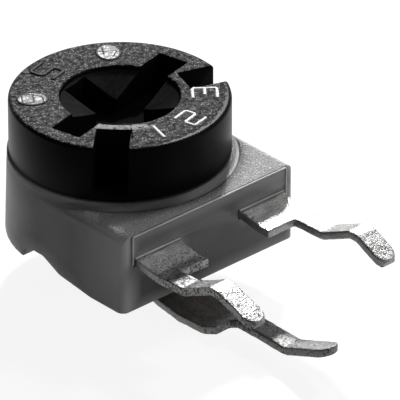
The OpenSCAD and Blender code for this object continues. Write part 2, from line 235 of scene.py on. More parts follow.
def from_bmesh(name, bm):
    """A new object from a bmesh, with its faces turned outwards."""
    mesh = bpy.data.meshes.new(name)
    bmesh.ops.recalc_face_normals(bm, faces=bm.faces)
    bm.to_mesh(mesh)
    bm.free()
    return take_mesh(name, mesh)


def revolved(name, profile, steps=ROUND_STEPS):
    """A closed solid of revolution about Z. The profile runs from axis to axis."""
    bm = bmesh.new()
    rings = []
    for r, z in profile:
        if r < 1e-6:
            rings.append([bm.verts.new((0, 0, z))])
            continue
        angles = [2 * math.pi * i / steps for i in range(steps)]
        rings.append([bm.verts.new((r * math.cos(a), r * math.sin(a), z)) for a in angles])
    for low, high in zip(rings, rings[1:]):
        for i in range(steps):
            j = (i + 1) % steps
            corners = [low[i % len(low)], low[j % len(low)],
                       high[j % len(high)], high[i % len(high)]]
            bm.faces.new(list(dict.fromkeys(corners)))
    return from_bmesh(name, bm)


def prism(name, outline, low, high):
    """A flat outline raised from one height to another."""
    bm = bmesh.new()
    bottom = [bm.verts.new((x, y, low)) for x, y in outline]
    top = [bm.verts.new((x, y, high)) for x, y in outline]
    bm.faces.new(bottom)
    bm.faces.new(top)
    for i in range(len(outline)):
        j = (i + 1) % len(outline)
        bm.faces.new([bottom[i], bottom[j], top[j], top[i]])
    return from_bmesh(name, bm)


def arc(cx, cy, r, start, end, steps):
    """Points on an arc, with angles in degrees."""
    angles = [math.radians(start + (end - start) * i / steps) for i in range(steps + 1)]
    return [(cx + r * math.cos(a), cy + r * math.sin(a)) for a in angles]


def box_cutter(name, low, high, turn=0.0):
    """A box between two corners, turned about the rotor's axis."""
    (x0, y0, z0), (x1, y1, z1) = low, high
    obj = prism(name, [(x0, y0), (x1, y0), (x1, y1), (x0, y1)], z0, z1)
    obj.data.transform(Matrix.Rotation(turn, 4, "Z"))
    return obj


def apply_modifiers(obj):
    """Turns what the modifiers make into the object's own mesh."""
    bpy.context.view_layer.update()
    shown = obj.evaluated_get(bpy.context.evaluated_depsgraph_get())
    mesh = bpy.data.meshes.new_from_object(shown)
    obj.modifiers.clear()
    obj.data = mesh
    return obj


def combine(obj, tools, operation):
    """Cuts, joins or meets obj with each tool in turn, and removes the tools."""
    for tool in tools:
        step = obj.modifiers.new("combine", "BOOLEAN")
        step.operation = operation
        step.solver = "EXACT"
        step.object = tool
    apply_modifiers(obj)
    for tool in tools:
        bpy.data.objects.remove(tool)
    return obj


def soften(obj, width, angle=30.0, segments=2):
    """Bevels the sharp edges and shades smoothly between them."""
    bm = bmesh.new()
    bm.from_mesh(obj.data)
    bmesh.ops.remove_doubles(bm, verts=bm.verts, dist=width / 20)
    bmesh.ops.dissolve_degenerate(bm, edges=bm.edges, dist=width / 20)
    bm.to_mesh(obj.data)
    bm.free()
    bevel = obj.modifiers.new("bevel", "BEVEL")
    bevel.width = width
    bevel.segments = segments
    bevel.limit_method = "ANGLE"
    bevel.angle_limit = math.radians(angle)
    bevel.harden_normals = False
    apply_modifiers(obj)
    smooth(obj, angle)
    return obj


def smooth(obj, angle=30.0):
    """Shades smoothly, and keeps edges sharper than the angle hard."""
    obj.data.shade_smooth()
    bm = bmesh.new()
    bm.from_mesh(obj.data)
    limit = math.radians(angle)
    for edge in bm.edges:
        edge.smooth = len(edge.link_faces) == 2 and edge.calc_face_angle(0) < limit
    bm.to_mesh(obj.data)
    bm.free()


def settle(obj, material, body, nodes=()):
    """Scales a piece made in millimetres, gives it its material and says what it rides on."""
    obj.data.transform(Matrix.Scale(MM, 4))
    obj.data.materials.clear()
    obj.data.materials.append(material)
    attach(obj, body)
    if nodes:
        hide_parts(*nodes)
    return obj


def shader(name):
    """A new material, with its node tree's helpers."""
    material = bpy.data.materials.new(name)
    material.use_nodes = True
    tree = material.node_tree
    return material, tree, tree.nodes["Principled BSDF"]


def add(tree, kind, inputs=None, **settings):
    """A new node, with its inputs linked or set and its settings made."""
    node = tree.nodes.new(kind)
    for key, value in settings.items():
        setattr(node, key, value)
    for key, value in (inputs or {}).items():
        if isinstance(value, bpy.types.NodeSocket):
            tree.links.new(value, node.inputs[key])
        else:
            node.inputs[key].default_value = value
    return node


def object_coords(tree, scale=(1, 1, 1)):
    """Object coordinates, stretched by scale."""
    coords = add(tree, "ShaderNodeTexCoord")
    mapping = add(tree, "ShaderNodeMapping", {"Vector": coords.outputs["Object"], "Scale": scale})
    return mapping.outputs["Vector"]


def grain(tree, size, detail=2.0, roughness=0.5, scale=(1, 1, 1)):
    """Noise whose features are about size millimetres across."""
    return add(tree, "ShaderNodeTexNoise", {
        "Vector": object_coords(tree, scale), "Scale": 1 / (size * MM),
        "Detail": detail, "Roughness": roughness}).outputs["Fac"]


def spread(tree, value, low, high, to_low=0.0, to_high=1.0):
    """Maps a value between two ranges and clamps it."""
    return add(tree, "ShaderNodeMapRange", {
        "Value": value, "From Min": low, "From Max": high, "To Min": to_low, "To Max": to_high,
    }).outputs["Result"]


def blend_colors(tree, factor, first, second):
    """Mixes two colours, or outputs that carry them."""
    mix = add(tree, "ShaderNodeMix", data_type="RGBA")
    tree.links.new(factor, mix.inputs["Factor"])
    for socket, color in ((mix.inputs[6], first), (mix.inputs[7], second)):
        if isinstance(color, bpy.types.NodeSocket):
            tree.links.new(color, socket)
        else:
            socket.default_value = (*color, 1)
    return mix.outputs[2]


def blend(tree, factor, first, second):
    """Mixes two values."""
    mix = add(tree, "ShaderNodeMix", {"Factor": factor, "A": first, "B": second})
    return mix.outputs["Result"]


def arithmetic(tree, operation, first, second):
    """One Math node's result."""
    return add(tree, "ShaderNodeMath", {0: first, 1: second}, operation=operation).outputs[0]


def relief(tree, bsdf, height, strength, depth, under=None):
    """Bumps depth millimetres high, laid over the normal of what is under them."""
    bump = add(tree, "ShaderNodeBump", {
        "Height": height, "Strength": strength, "Distance": depth * MM})
    if under:
        tree.links.new(under, bump.inputs["Normal"])
    tree.links.new(bump.outputs["Normal"], bsdf.inputs["Normal"])


def tinted(color, share):
    """A colour made lighter or darker by a share, and held under white."""
    return tuple(min(1.0, c * share) for c in color)


def upward(tree, low, high):
    """One where a surface faces up, zero where it is upright."""
    normal = add(tree, "ShaderNodeTexCoord").outputs["Normal"]
    parts = add(tree, "ShaderNodeSeparateXYZ", {"Vector": normal})
    return spread(tree, parts.outputs["Z"], low, high)


def reach(tree):
    """Distance from the rotor's axis."""
    flat = add(tree, "ShaderNodeVectorMath", {
        0: object_coords(tree), 1: (1, 1, 0)}, operation="MULTIPLY")
    length = add(tree, "ShaderNodeVectorMath", {0: flat.outputs[0]}, operation="LENGTH")
    return length.outputs["Value"]


def above(tree, low, high):
    """One over a height in millimetres, zero under a lower one."""
    parts = add(tree, "ShaderNodeSeparateXYZ", {"Vector": object_coords(tree)})
    return spread(tree, parts.outputs["Z"], low * MM, high * MM)


def rotor_plastic(sizes):
    """Black plastic with smooth sides and a grained, sparkling top. Its sparkle is painted glint
    specks, and it has a painted highlight by the front keyway and painted shade on the front of
    the rim.
    """
    material, tree, bsdf = shader("rotor_plastic")
    coarse = grain(tree, 0.16, detail=3.0, roughness=0.7)
    level = arithmetic(tree, "MULTIPLY", upward(tree, 0.4, 0.95), above(tree, -0.14, -0.04))
    # Painted shade: on the front part of the rim the grained top gives way to black, with a ragged
    # edge.
    front = add(tree, "ShaderNodeVectorMath", {
        0: object_coords(tree), 1: (0.34, -0.94, 0)}, operation="DOT_PRODUCT")
    painted_rim_shade = arithmetic(tree, "MULTIPLY", spread(tree, reach(tree), 2.8 * MM, 3.12 * MM),
                          spread(tree, front.outputs["Value"], 1.4 * MM, 2.8 * MM, 0.15, 0.8))
    level = arithmetic(tree, "SUBTRACT", level, painted_rim_shade)
    top = spread(tree, arithmetic(tree, "ADD", level, coarse), 1.0, 1.35)
    fine = grain(tree, 0.045, detail=2.0, roughness=0.6)
    # Painted glints: pale specks on the grained top, from these cells.
    cell = add(tree, "ShaderNodeTexVoronoi", {
        "Vector": object_coords(tree), "Scale": 1 / (0.06 * MM)})
    painted_glint_speck = arithmetic(tree, "MULTIPLY", spread(tree, cell.outputs["Distance"], 0.42, 0.2),
                       spread(tree, coarse, 0.42, 0.58))
    mottled = blend_colors(tree, spread(tree, coarse, 0.38, 0.62),
                           tinted(sizes.top_color, 0.15), tinted(sizes.top_color, 1.8))
    sparkling = blend_colors(tree, painted_glint_speck, mottled, tinted(sizes.top_color, 9.0))
    bowl = arithmetic(tree, "MULTIPLY", arithmetic(tree, "MULTIPLY", upward(tree, 0.6, 0.9),
                                                   above(tree, -0.95, -0.88)),
                      spread(tree, reach(tree), 1.74 * MM, 1.7 * MM))
    # Painted highlight: a pale strip on the top between the recess and the front keyway, where the
    # rounded edges catch the light.
    toward_web = add(tree, "ShaderNodeVectorMath", {
        0: object_coords(tree), 1: (math.cos(WEB_ANGLE), math.sin(WEB_ANGLE), 0)},
        operation="DOT_PRODUCT")
    under = blend_colors(tree, bowl, tuple(sizes.side_color),
                         blend_colors(tree, coarse, (0, 0, 0), tinted(sizes.top_color, 0.5)))
    web_strip = arithmetic(tree, "MULTIPLY",
                        spread(tree, toward_web.outputs["Value"], 1.6 * MM, 1.72 * MM),
                        spread(tree, reach(tree), 2.1 * MM, 2.0 * MM))
    web_painted_highlight = arithmetic(tree, "MULTIPLY", web_strip, spread(tree, coarse, 0.35, 0.5))
    # The top's colour with the painted highlight on the web laid in.
    worn = blend_colors(tree, web_painted_highlight, sparkling, tinted(sizes.top_color, 8.0))
    tree.links.new(blend_colors(tree, top, under, worn), bsdf.inputs["Base Color"])
    around = add(tree, "ShaderNodeAmbientOcclusion", {"Distance": 1.2 * MM}, samples=8)
    deep = spread(tree, around.outputs["AO"], 0.75, 0.45)
    slot_floor = arithmetic(tree, "MULTIPLY", upward(tree, 0.6, 0.9), above(tree, -0.92, -0.97))
    dim = arithmetic(tree, "MAXIMUM", slot_floor, arithmetic(
        tree, "MULTIPLY", deep, spread(tree, bowl, 0, 1, 1, 0.5)))
    tree.links.new(arithmetic(tree, "MAXIMUM", spread(tree, top, 0, 1, 0.36, 0.5), dim),
                   bsdf.inputs["Roughness"])
    bsdf.inputs["Specular IOR Level"].default_value = 0.04
    height = arithmetic(tree, "MULTIPLY", arithmetic(tree, "ADD", coarse, fine),
                        spread(tree, top, 0, 1, 0.08, 1))
    relief(tree, bsdf, height, 1.0, 0.03)
    return material


def housing_plastic(sizes):
    """Grey milky plastic, satin on its sides and grained on the deck outside the collar. Its
    colour holds painted light, paler towards the collar, at the edges, round the near corner and
    on the deck with its glints, and painted shade at the foot of the collar.
    """
    material, tree, bsdf = shader("housing_plastic")
    place = add(tree, "ShaderNodeSeparateXYZ", {"Vector": object_coords(tree)})
    outer = spread(tree, reach(tree), 3.4 * MM, 3.46 * MM)
    deck = arithmetic(tree, "MULTIPLY", upward(tree, 0.5, 0.95), outer)
    cloud = grain(tree, 1.6, detail=2.0)
    coarse = grain(tree, 0.13, detail=2.0, roughness=0.6)
    fine = grain(tree, 0.05, detail=2.0)
    # Painted light and shade: the colour runs from dark at the underside to pale at the collar, as
    # the light falls from above.
    painted_height_light = spread(tree, place.outputs["Z"], HOUSING_LOW.z * MM, COLLAR_Z * MM)
    body = blend_colors(tree, painted_height_light, tinted(sizes.color, 0.05), tinted(sizes.color, 1.4))
    clouded = blend_colors(tree, spread(tree, cloud, 0.3, 0.7, 0.0, 0.25), body,
                           tinted(sizes.color, 0.7))
    # Painted light: convex edges turn paler, standing in for light that glows through the milky
    # plastic there.
    inside = add(tree, "ShaderNodeAmbientOcclusion", {"Distance": 0.45 * MM},
                 inside=True, samples=8)
    edge = spread(tree, inside.outputs["AO"], 1.0, 0.5, 0.0, 0.55)
    # Painted shade: the deck and collar foot are darkened where the outside occlusion finds them
    # hemmed in, less so towards the left face.
    outside = add(tree, "ShaderNodeAmbientOcclusion", {"Distance": 0.7 * MM}, samples=8)
    foot_of_collar = above(tree, COLLAR_Z - 0.45, COLLAR_Z - 0.25)
    painted_collar_shade = arithmetic(
        tree, "MULTIPLY", arithmetic(
            tree, "MULTIPLY", spread(tree, outside.outputs["AO"], 0.97, 0.68, 0.0, 0.9),
            foot_of_collar),
        spread(tree, place.outputs["X"],
               HOUSING_LOW.x * MM, (HOUSING_LOW.x + 1.2) * MM, 0.2, 1.0))
    soft = add(tree, "ShaderNodeBevel", {
        "Radius": spread(tree, reach(tree), 3.4 * MM, 3.9 * MM, 0.3 * MM, 0.05 * MM)},
        samples=4)
    # Painted highlight: pale lines where the soft bevel normal parts from the true normal, along
    # the moulded edges.
    across = add(tree, "ShaderNodeVectorMath", {
        0: soft.outputs[0], 1: add(tree, "ShaderNodeNewGeometry").outputs["True Normal"]},
        operation="DOT_PRODUCT")
    line = spread(tree, across.outputs["Value"], 0.98, 0.8, 0.0, 0.6)
    # Painted light: a pale glow round the near upright corner, reaching further along the left
    # face than along the front.
    from_corner = add(tree, "ShaderNodeVectorMath", {
        0: object_coords(tree, (3, 1, 0)),
        1: (3 * HOUSING_LOW.x * MM, HOUSING_LOW.y * MM, 0)}, operation="DISTANCE")
    painted_corner_glow = spread(tree, from_corner.outputs["Value"], 0.3 * MM, 2.2 * MM, 0.95, 0.0)
    # All of this painted light is laid over the body's colour as a pale tint.
    painted_highlight = arithmetic(tree, "MAXIMUM", painted_corner_glow, arithmetic(tree, "MAXIMUM", edge, line))
    with_painted_light = blend_colors(tree, painted_highlight, clouded, tinted(sizes.color, 3.6))
    # Painted glints: pale specks on the deck, fading out towards its left-hand part, which lies in
    # the rotor's shadow.
    cell = add(tree, "ShaderNodeTexVoronoi", {
        "Vector": object_coords(tree), "Scale": 1 / (0.075 * MM)})
    painted_deck_glint = arithmetic(tree, "MULTIPLY", arithmetic(
        tree, "MULTIPLY", spread(tree, cell.outputs["Distance"], 0.45, 0.2),
        spread(tree, coarse, 0.42, 0.56)), spread(
        tree, place.outputs["X"], 0.3 * MM, 1.8 * MM, 0.1, 1.0))
    # The deck is paler than the sides: partly its grain, partly painted light on the up-facing
    # deck.
    grained = blend_colors(tree, deck, with_painted_light, blend_colors(
        tree, painted_deck_glint, tinted(sizes.color, 2.8), tinted(sizes.color, 5.5)))
    tree.links.new(blend_colors(tree, painted_collar_shade, grained, tinted(sizes.color, 0.15)),
                   bsdf.inputs["Base Color"])
    tree.links.new(spread(tree, deck, 0, 1, 0.42, 0.27), bsdf.inputs["Roughness"])
    bsdf.inputs["Specular IOR Level"].default_value = 0.38
    bsdf.inputs["Subsurface Weight"].default_value = 0.5
    bsdf.inputs["Subsurface Radius"].default_value = (1, 1, 1)
    bsdf.inputs["Subsurface Scale"].default_value = 0.35 * MM
    height = arithmetic(tree, "MULTIPLY", arithmetic(tree, "ADD", coarse, fine),
                        spread(tree, deck, 0, 1, 0.06, 1))
    relief(tree, bsdf, height, 1.0, 0.1, soft.outputs[0])
    return material


def tin(name, color, roughness):
    """Hot-tinned sheet with an uneven skin and dark flecks, most of them on the near side."""
    material, tree, bsdf = shader(name)
    broad = grain(tree, 0.45, detail=3.0, roughness=0.6)
    fine = grain(tree, 0.07, detail=3.0, roughness=0.6)
    fleck = arithmetic(tree, "MULTIPLY", spread(tree, fine, 0.52, 0.6),
                       spread(tree, broad, 0.4, 0.55))
    skin = blend_colors(tree, spread(tree, broad, 0.35, 0.62),
                        tinted(color, 0.75), tuple(color))
    cell = add(tree, "ShaderNodeTexVoronoi", {
        "Vector": object_coords(tree), "Scale": 1 / (0.13 * MM)})
    pit = arithmetic(tree, "MULTIPLY", spread(tree, cell.outputs["Distance"], 0.32, 0.22),
                     spread(tree, broad, 0.4, 0.5))
    bend = add(tree, "ShaderNodeNewGeometry").outputs["Pointiness"]
    edge = arithmetic(tree, "MULTIPLY", spread(tree, bend, 0.55, 0.6),
                      spread(tree, fine, 0.42, 0.5))
    place = add(tree, "ShaderNodeSeparateXYZ", {"Vector": object_coords(tree)})
    outer = spread(tree, place.outputs["Y"], -(FACE_DIST + 0.25) * MM, -(FACE_DIST + 0.8) * MM)
    outer = arithmetic(tree, "MULTIPLY", outer, spread(
        tree, place.outputs["X"], -1 * MM, 2 * MM, 1.0, 0.35))
    fold = arithmetic(
        tree, "MULTIPLY", spread(tree, fine, 0.44, 0.54, 0.0, 0.85), arithmetic(
            tree, "MULTIPLY",
            spread(tree, place.outputs["Y"], -(FACE_DIST + 2.3) * MM, -(FACE_DIST + 2.1) * MM),
            spread(tree, place.outputs["Y"], -(FACE_DIST + 1.1) * MM, -(FACE_DIST + 1.3) * MM)))
    flecked = arithmetic(tree, "MULTIPLY", arithmetic(
        tree, "MAXIMUM", fold, arithmetic(tree, "MAXIMUM", fleck, pit)), outer)
    dark = arithmetic(tree, "MAXIMUM", flecked, edge)
    tree.links.new(blend_colors(tree, dark, skin, tinted(color, 0.12)),
                   bsdf.inputs["Base Color"])
    bsdf.inputs["Metallic"].default_value = 1.0
    uneven = arithmetic(tree, "ADD", broad, arithmetic(tree, "MULTIPLY", fine, 0.5))
    tree.links.new(spread(tree, uneven, 0.55, 0.95, *roughness), bsdf.inputs["Roughness"])
    relief(tree, bsdf, arithmetic(tree, "ADD", fine, broad), 0.8, 0.03)
    return material


def plain_finish(name, color, metallic=0.0, roughness=(0.4, 0.6), size=0.1, depth=0.006):
    """A finish with slight colour change, grain and relief, for the inner pieces."""
    material, tree, bsdf = shader(name)
    fine = grain(tree, size, detail=3.0)
    broad = grain(tree, size * 8)
    tree.links.new(blend_colors(tree, spread(tree, broad, 0.35, 0.65),
                                tinted(color, 0.8), tinted(color, 1.1)), bsdf.inputs["Base Color"])
    tree.links.new(spread(tree, fine, 0.3, 0.7, *roughness), bsdf.inputs["Roughness"])
    bsdf.inputs["Metallic"].default_value = metallic
    relief(tree, bsdf, fine, 0.5, depth)
    return material


class TRIM_OT_rotor(bpy.types.Operator):
    """Makes the rotor: revolved cap and hub, cut by the recess, cross slot and keyways"""
    bl_idname = "trim.rotor"
    bl_label = "Rotor"

    def execute(self, context):
        s = in_millimetres(context.scene.trim_rotor)
        cap_z, foot_z = -s.cap_h, ROTOR_LOW.z
        spigot_r, shoulder_z = s.hub_r * 0.75, foot_z + 0.5
        rim = arc(ROTOR_R - s.rim_round, -s.rim_round, s.rim_round, 0, 90, 8)
        profile = [(0, foot_z), (spigot_r, foot_z), (spigot_r, shoulder_z),
                   (s.hub_r, shoulder_z), (s.hub_r, cap_z), (ROTOR_R, cap_z), *rim, (0, 0)]
        rotor = revolved("rotor_cap", profile)
        combine(rotor, self.cutters(s), "DIFFERENCE")
        rotor.data.transform(Matrix.Rotation(s.turned, 4, "Z"))
        soften(rotor, MOULDED_EDGE)
        settle(rotor, rotor_plastic(s), ROTOR_GROUP, ["rotor"])
        return {"FINISHED"}

    def cutters(self, s):
        """The recess, the cross slot's two arms and the two keyways, as solids to cut away."""
        made = [revolved("recess", [
            (0, -s.cone_depth), (s.recess_r, -s.lip_depth), (s.recess_r, -s.rim_chamfer),
            (s.recess_r + s.rim_chamfer, 0), (s.recess_r + s.rim_chamfer, OVERCUT),
            (0, OVERCUT)])]
        for arm, turn in ((s.short_arm, 0.0), (s.long_arm, math.pi / 2)):
            made.append(box_cutter("arm", (-s.slot_w / 2, -arm, -s.slot_depth),
                                   (s.slot_w / 2, arm, OVERCUT), turn))
        for side in (-1, 1):
            made.append(box_cutter("keyway", (-s.key_w / 2, -2 * ROTOR_R, -s.key_depth),
                                   (s.key_w / 2, -s.key_reach, OVERCUT),
                                   side * s.key_angle))
        return made


class TRIM_OT_housing(bpy.types.Operator):
    """Takes the housing's solid and gives it soft moulded edges"""
    bl_idname = "trim.housing"
    bl_label = "Housing"

    def execute(self, context):
        s = in_millimetres(context.scene.trim_housing)
        housing = take_mesh("housing_shell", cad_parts["housing"].data.copy())
        housing.data.transform(Matrix.Scale(1 / MM, 4))
        soften(housing, s.edge_bevel, angle=28)
        plastic = housing_plastic(s)
        settle(housing, plastic, BASE, ["housing"])
        # Painted highlight: pale raised beads along the panel's edges and on top of the terminals'
        # roots.
        painted_highlight = plain_finish("highlight_bead", tinted(s.color, 4.4), roughness=(0.3, 0.45))
        beads = following_beads("highlight_beads", self.lines(s), s.bead_r, painted_highlight)
        settle(beads, painted_highlight, BASE)
        return {"FINISHED"}

    def lines(self, s):
        """The panel's outline and the top of each terminal's root, on the front face."""
        side, top = s.panel_w / 2, COLLAR_Z - s.panel_drop
        foot = top - PANEL_SIDE
        found = [[(-side, -FACE_DIST, foot), (-side, -FACE_DIST, top),
                  (side, -FACE_DIST, top), (side, -FACE_DIST, foot)]]
        for node in ("near_terminal", "far_terminal"):
            root = [v.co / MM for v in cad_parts[node].data.vertices
                    if abs(v.co.y / MM + FACE_DIST) < ROOT_REACH]
            low_x, high_x = min(p.x for p in root), max(p.x for p in root)
            over = max(p.z for p in root) + s.bead_r
            found.append([(low_x, -FACE_DIST, over), (high_x, -FACE_DIST, over)])
        return found


class TRIM_OT_terminals(bpy.types.Operator):
    """Makes the three terminals as tinned sheet with rounded, uneven edges"""
    bl_idname = "trim.terminals"
    bl_label = "Terminals"

    def execute(self, context):
        s = in_millimetres(context.scene.trim_terminals)
        bright = tin("tinned_sheet", s.color, (0.36, 0.56))
        # The wiper's tin is rougher, and its colour is darker as painted shade.
        dull = tin("tinned_sheet_dull_shaded", tinted(s.color, 0.75), (0.5, 0.62))
        for node, finish in (("near_terminal", bright), ("far_terminal", bright),
                             ("wiper_terminal", dull)):
            leg = take_mesh(node.replace("terminal", "leg"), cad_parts[node].data.copy())
            leg.data.transform(Matrix.Scale(1 / MM, 4))
            self.dip(leg, s)
            settle(leg, finish, BASE, [node])
        return {"FINISHED"}

    def dip(self, leg, s):
        """Rounds the stamped edges and leaves the tin slightly lumpy."""
        remesh = leg.modifiers.new("remesh", "REMESH")
        remesh.mode = "VOXEL"
        remesh.voxel_size = s.grain
        ease = leg.modifiers.new("ease", "SMOOTH")
        ease.factor = 0.5
        ease.iterations = 6
        apply_modifiers(leg)
        moved = []
        for vertex in leg.data.vertices:
            lump = noise.noise(vertex.co * 3.2) + 0.5 * noise.noise(vertex.co * 9.0)
            moved.extend(vertex.co + vertex.normal * (lump * s.lump * 0.5))
        leg.data.vertices.foreach_set("co", moved)
        leg.data.update()
        smooth(leg, 60)


OVAL = tuple((0.57 * math.cos(a), 0.5 + 0.72 * math.sin(a))
             for a in (math.radians(20 * i) for i in range(18)))
# Half width and half height of an oval land, its rise over the rotor's top and its depth, in mm
PAD_HALF_W, PAD_HALF_H = 0.33, 0.42
PAD_RISE, PAD_SINK = 0.02, 0.03
PAD_STEPS = 40
# Each figure's strokes, one unit high. A stroke that ends where it starts is a loop.
FIGURES = {
    "1": (((0, 0), (0, 1)),),
    "2": (((-0.4, 1), (0.4, 1), (0.4, 0.5), (-0.4, 0.5), (-0.4, 0), (0.4, 0)),),
    "3": (((-0.4, 1), (0.4, 1), (0.4, 0), (-0.4, 0)), ((-0.15, 0.5), (0.4, 0.5))),
    "4": (((-0.15, 1), (-0.45, 0.4), (0.45, 0.4)), ((0.25, 0.75), (0.25, 0))),
    "5": (((0.4, 1), (-0.35, 1), (-0.35, 0.55), (0.4, 0.55), (0.4, 0), (-0.4, 0)),),
    "6": (((0.35, 1), (-0.1, 1), (-0.4, 0.5), (-0.4, 0), (0.4, 0), (0.4, 0.55), (-0.4, 0.55)),),
    "rim": ((*OVAL, OVAL[0]),),
}


class TRIM_OT_numerals(bpy.types.Operator):
    """Sets plain raised numbers round the rotor's top"""
    bl_idname = "trim.numerals"
    bl_label = "Numbers"

    def execute(self, context):
        s = in_millimetres(context.scene.trim_numerals)
        bright = self.worn_plastic("numeral_bright", s.bright, 0.9)
        dull = self.worn_plastic("numeral_dull", s.dull, 0.25)
        black = self.worn_plastic("numeral_black", (0.012, 0.012, 0.012), 0.9, 0.6)
        fine = (("1", -104.9), ("2", -76.5), ("3", -40.0))
        broad = (("4", 55.6), ("6", 143.6))
        settle(ring_numbers("numerals_fine", fine, s.fine_h, s.fine_r, s.fine_stroke, bright),
               bright, ROTOR_GROUP)
        settle(ring_numbers("numerals_plain", (("5", 104.2),), s.broad_h, s.broad_r,
                            s.broad_stroke * 1.3, black),
               black, ROTOR_GROUP)
        bearings = [bearing for figure, bearing in broad]
        rims = [("rim", bearing) for bearing in bearings]
        settle(ring_numbers("numerals_broad", (*broad, *rims), s.broad_h * 0.75, s.broad_r,
                            s.broad_stroke * 0.8, black),
               black, ROTOR_GROUP)
        settle(self.pads(s, bearings), dull, ROTOR_GROUP)
        return {"FINISHED"}

    def pads(self, s, bearings):
        """Low oval lands under the figures that the mould's inserts leave."""
        bm = bmesh.new()
        for bearing in bearings:
            turn = Matrix.Rotation(math.radians(bearing + 90), 4, "Z")
            angles = [2 * math.pi * i / PAD_STEPS for i in range(PAD_STEPS)]
            ring = [turn @ Vector((PAD_HALF_W * math.cos(a),
                                   PAD_HALF_H * math.sin(a) - s.broad_r, 0)) for a in angles]
            top = [bm.verts.new(p + Vector((0, 0, PAD_RISE))) for p in ring]
            foot = [bm.verts.new(p - Vector((0, 0, PAD_SINK))) for p in ring]
            bm.faces.new(top)
            bm.faces.new(foot)
            for i in range(len(ring)):
                j = (i + 1) % len(ring)
                bm.faces.new([foot[i], foot[j], top[j], top[i]])
        return from_bmesh("numeral_pads", bm)

    def worn_plastic(self, name, color, share, roughness=0.35):
        """Worn plastic, black where the noise is low. The share is how much keeps its colour."""
        material, tree, bsdf = shader(name)
        patch = grain(tree, 0.16, detail=3.0, roughness=0.6)
        left = spread(tree, patch, 0.62 - share * 0.5, 0.72 - share * 0.5)
        tree.links.new(blend_colors(tree, left, (0.008, 0.008, 0.008), tuple(color)),
                       bsdf.inputs["Base Color"])
        bsdf.inputs["Roughness"].default_value = roughness
        bsdf.inputs["Specular IOR Level"].default_value = 0.2
        relief(tree, bsdf, patch, 0.5, 0.01)
        return material


def geometry_tree(name, sockets):
    """An empty geometry tree with named inputs, and its input and output nodes."""
    tree = bpy.data.node_groups.new(name, "GeometryNodeTree")
    tree.interface.new_socket("Geometry", in_out="INPUT", socket_type="NodeSocketGeometry")
    tree.interface.new_socket("Geometry", in_out="OUTPUT", socket_type="NodeSocketGeometry")
    for label, kind, default in sockets:
        socket = tree.interface.new_socket(label, in_out="INPUT", socket_type=kind)
        socket.default_value = default
    return tree, tree.nodes.new("NodeGroupInput"), tree.nodes.new("NodeGroupOutput")


def ring_numbers(name, figures, height, radius, stroke, material):
    """Figures of raised strokes set round a circle by Geometry Nodes, their tops inward."""
    obj = take_mesh(name, stroke_mesh(name, figures))
    tree, given, result = geometry_tree(name + "_tree", [
        ("Figure Height", "NodeSocketFloat", height), ("Ring Radius", "NodeSocketFloat", radius),
        ("Stroke", "NodeSocketFloat", stroke)])
    bearing = add(tree, "GeometryNodeInputNamedAttribute", {"Name": "bearing"}, data_type="FLOAT")
    drawn = add(tree, "GeometryNodeInputPosition")
    sized = add(tree, "ShaderNodeVectorMath", {
        0: drawn.outputs[0], 3: given.outputs["Figure Height"]}, operation="SCALE")
    inward = arithmetic(tree, "MULTIPLY", given.outputs["Ring Radius"], -1.0)
    out = add(tree, "ShaderNodeCombineXYZ", {"Y": inward})
    placed = add(tree, "ShaderNodeVectorMath", {0: sized.outputs[0], 1: out.outputs[0]},
                 operation="ADD")
    spun = add(tree, "ShaderNodeVectorRotate", {
        "Vector": placed.outputs[0], "Axis": (0, 0, 1), "Angle": bearing.outputs[0]},
        rotation_type="AXIS_ANGLE")
    moved = add(tree, "GeometryNodeSetPosition", {
        "Geometry": given.outputs["Geometry"], "Position": spun.outputs[0]})
    lines = add(tree, "GeometryNodeMeshToCurve", {"Mesh": moved.outputs[0]})
    eased = add(tree, "GeometryNodeFilletCurve", {
        "Curve": lines.outputs[0], "Radius": given.outputs["Stroke"], "Limit Radius": True})
    section = add(tree, "GeometryNodeCurvePrimitiveCircle", {
        "Resolution": 10, "Radius": given.outputs["Stroke"]})
    tube = add(tree, "GeometryNodeCurveToMesh", {
        "Curve": eased.outputs[0], "Profile Curve": section.outputs["Curve"], "Fill Caps": True})
    flat = add(tree, "GeometryNodeTransform", {"Geometry": tube.outputs[0], "Scale": (1, 1, 0.6)})
    whole = add(tree, "GeometryNodeRealizeInstances", {"Geometry": flat.outputs[0]})
    coat = add(tree, "GeometryNodeSetMaterial", {
        "Geometry": whole.outputs[0], "Material": material})
    tree.links.new(coat.outputs[0], result.inputs[0])
    obj.modifiers.new("numbers", "NODES").node_group = tree
    return apply_modifiers(obj)


def following_beads(name, lines, radius, material):
    """Round beads that follow lines, made by Geometry Nodes."""
    mesh = bpy.data.meshes.new(name)
    points, edges = [], []
    for line in lines:
        first = len(points)
        points.extend(line)
        edges.extend((first + i, first + i + 1) for i in range(len(line) - 1))
    mesh.from_pydata(points, edges, [])
    obj = take_mesh(name, mesh)
    tree, given, result = geometry_tree(name + "_tree", [("Radius", "NodeSocketFloat", radius)])
    paths = add(tree, "GeometryNodeMeshToCurve", {"Mesh": given.outputs["Geometry"]})
    eased = add(tree, "GeometryNodeFilletCurve", {
        "Curve": paths.outputs[0], "Radius": given.outputs["Radius"], "Limit Radius": True})
    section = add(tree, "GeometryNodeCurvePrimitiveCircle", {
        "Resolution": 12, "Radius": given.outputs["Radius"]})
    tube = add(tree, "GeometryNodeCurveToMesh", {
        "Curve": eased.outputs[0], "Profile Curve": section.outputs["Curve"], "Fill Caps": True})
    whole = add(tree, "GeometryNodeRealizeInstances", {"Geometry": tube.outputs[0]})
    coat = add(tree, "GeometryNodeSetMaterial", {
        "Geometry": whole.outputs[0], "Material": material})
    tree.links.new(coat.outputs[0], result.inputs[0])
    obj.modifiers.new("beads", "NODES").node_group = tree
    return apply_modifiers(obj)


